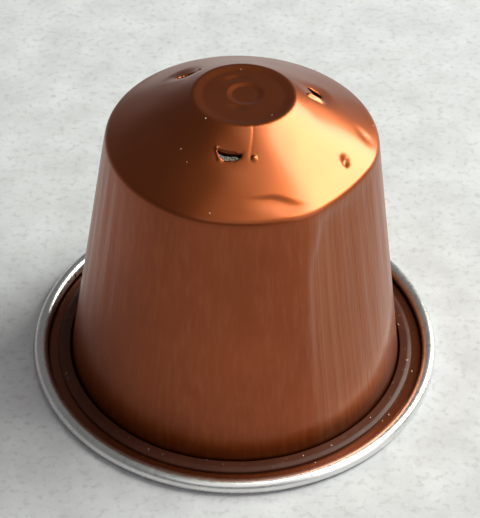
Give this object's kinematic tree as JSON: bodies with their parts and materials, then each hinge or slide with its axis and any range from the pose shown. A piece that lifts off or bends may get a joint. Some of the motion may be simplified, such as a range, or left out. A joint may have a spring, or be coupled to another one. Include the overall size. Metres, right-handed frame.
{
  "type": "coffee pod",
  "caption": "Used single-serve coffee pod: a drawn aluminium cup with a rolled rim, a sealing ring, a pierced cone, a foil base and ground coffee inside.",
  "frame": {"origin": "centre of the rolled rim's underside, on the surface the pod stands on", "axes": "+Z is the pod's axis, from the rim up to the cone; -Y faces the side with the front puncture"},
  "size_m": [0.0372, 0.0372, 0.0287],
  "materials": {
    "lacquered_cup": "satin brown lacquer over aluminium, bare on the rolled edge",
    "sealing_ring": "translucent dark brown silicone",
    "foil": "plain satin foil",
    "fleece": "matt bonded fibres, stained by coffee",
    "coffee": "matt damp grounds"
  },
  "bodies": {
    "root": {"capsule_shell": "lacquered_cup", "sealing_ring": "sealing_ring", "foil_membrane": "foil", "inner_filter": "fleece", "coffee_puck": "coffee"}
  },
  "joints": []
}
